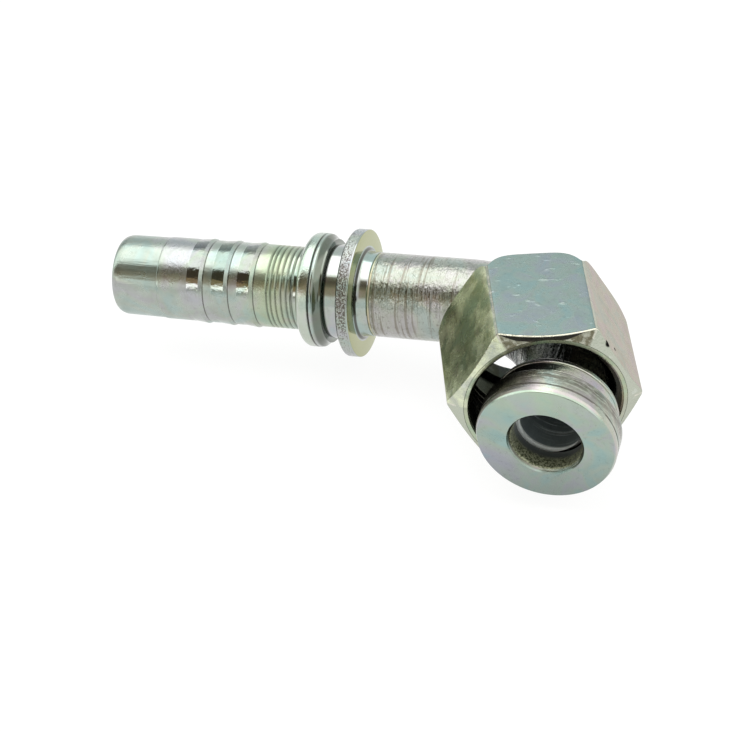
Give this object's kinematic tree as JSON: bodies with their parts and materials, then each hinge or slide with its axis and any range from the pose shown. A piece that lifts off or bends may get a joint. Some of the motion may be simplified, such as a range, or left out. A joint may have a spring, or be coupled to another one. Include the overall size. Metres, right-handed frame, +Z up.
{
  "type": "hydraulic hose elbow fitting",
  "caption": "Right-angle hydraulic hose end with a barbed hose insert, crimp collars, a bent tube, a flat seat and a loose hexagonal swivel nut.",
  "frame": {"origin": "middle of the underside of the whole object's box, with the bend lying flat", "axes": "X runs along the hose insert with the hose end towards -X, the flat seat faces -Y, +Z is up and square to the plane of the bend"},
  "size_m": [0.0842, 0.0386, 0.0252],
  "materials": {
    "zinc_turned": "turned steel under bright clear zinc plate",
    "zinc_drawn": "drawn steel tube with turning lines under clear zinc plate",
    "zinc_seat": "faced steel under satin clear zinc plate",
    "zinc_hex": "hexagon bar steel under clear zinc plate with a faint tint",
    "braze_alloy": "braze alloy under thin zinc plate"
  },
  "bodies": {
    "stem": {"hose_insert": "zinc_turned", "insert_braze_ring": "braze_alloy", "elbow_tube": "zinc_drawn", "seat_sleeve": "zinc_seat", "sleeve_braze_ring": "braze_alloy"},
    "nut": {"swivel_nut": "zinc_hex"}
  },
  "joints": [
    {"name": "nut_spin", "type": "hinge", "parent": "stem", "child": "nut", "pos_m": [0.02948, -0.01188, 0.01262], "axis": [0.3223, -0.9466, 0], "continuous": true}
  ]
}
